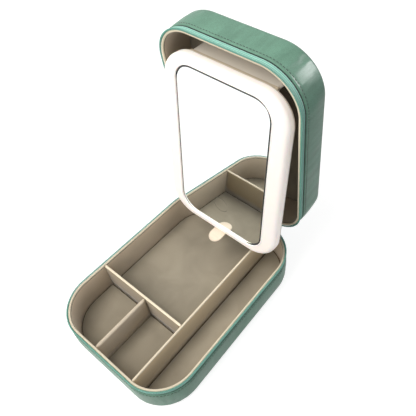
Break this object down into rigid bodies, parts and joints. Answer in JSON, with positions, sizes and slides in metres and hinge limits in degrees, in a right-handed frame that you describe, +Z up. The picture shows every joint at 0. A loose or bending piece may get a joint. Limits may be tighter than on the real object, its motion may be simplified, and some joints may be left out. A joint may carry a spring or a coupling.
{
  "type": "vanity box with mirror",
  "caption": "Soft-sided vanity box with a padded divided base, a zip round both rims and a lit mirror that hangs in the hinged lid.",
  "frame": {"origin": "centre of the underside, on the surface that the box stands on", "axes": "+X to the right as seen from the front, +Y from the front wall towards the hinge wall, +Z up"},
  "size_m": [0.1654, 0.2613, 0.2882],
  "materials": {
    "skin_leather": "fine grained green leather cloth",
    "spine_leather": "fine grained green leather cloth, folded",
    "lining": "taupe napped lining with a smooth cream rolled rim",
    "pad_cloth": "taupe napped lining over foam",
    "divider_cloth": "cream lining over board",
    "padded_divider": "cream lining over foam",
    "zip_tape": "teal woven tape",
    "zip_coil": "teal moulded coil",
    "zip_metal": "polished zinc",
    "hanger_web": "cream web",
    "rail_plastic": "cream matt plastic",
    "diffuser": "white light-diffusing plastic",
    "mirror_silver": "silvered glass",
    "cover_plastic": "warm white matt plastic",
    "circuit": "lacquered circuit board",
    "white_circuit": "white lacquered circuit board",
    "light_chip": "clear resin over phosphor",
    "cell_foil": "pouch foil",
    "socket_steel": "stamped steel",
    "sensor_film": "copper tinted film",
    "tab_cloth": "cream leather cloth"
  },
  "bodies": {
    "base": {"base_skin": "skin_leather", "base_liner": "lining", "floor_pad": "pad_cloth", "long_divider": "divider_cloth", "cross_divider": "divider_cloth", "base_zip_tape": "zip_tape", "base_zip_coil": "zip_coil", "zip_slider": "zip_metal", "base_spine": "spine_leather"},
    "loose_divider": {"short_divider": "padded_divider"},
    "pull": {"zip_pull": "zip_metal"},
    "lid": {"lid_skin": "skin_leather", "lid_liner": "lining", "lid_back_pad": "pad_cloth", "lid_zip_tape": "zip_tape", "lid_zip_coil": "zip_coil", "lid_spine": "spine_leather", "lid_hanger_rail": "rail_plastic"},
    "hanger": {"hanger_strap": "hanger_web"},
    "mirror": {"light_frame": "diffuser", "mirror_glass": "mirror_silver", "back_cover": "cover_plastic", "led_board": "white_circuit", "led_chips": "light_chip", "battery_cell": "cell_foil", "control_board": "circuit", "usb_socket": "socket_steel", "touch_film": "sensor_film", "mirror_hanger_rail": "rail_plastic", "pull_tab": "tab_cloth"}
  },
  "joints": [
    {"name": "lid_hinge", "type": "hinge", "parent": "base", "child": "lid", "pos_m": [0, 0.1191, 0.05516], "axis": [1, 0, 0], "range_deg": [0, 85.42]},
    {"name": "hanger_fold", "type": "hinge", "parent": "lid", "child": "hanger", "pos_m": [0.002, 0.12608, 0.25656], "axis": [1, 0, 0], "range_deg": [-83, 0]},
    {"name": "mirror_tilt", "type": "hinge", "parent": "hanger", "child": "mirror", "pos_m": [0.002, 0.10285, 0.25652], "axis": [1, 0, 0], "range_deg": [0, 94]},
    {"name": "divider_slide", "type": "slide", "parent": "base", "child": "loose_divider", "axis": [1, 0, 0], "range_m": [-0.02, 0.04]},
    {"name": "pull_swing", "type": "hinge", "parent": "base", "child": "pull", "pos_m": [-0.0338, 0.11566, 0.04575], "axis": [1, 0, 0], "range_deg": [0, 90]}
  ],
  "couplings": [
    {"joint": "hanger_fold", "follows": "lid_hinge", "ratio": -0.96816},
    {"joint": "mirror_tilt", "follows": "lid_hinge", "ratio": 1.0972}
  ]
}
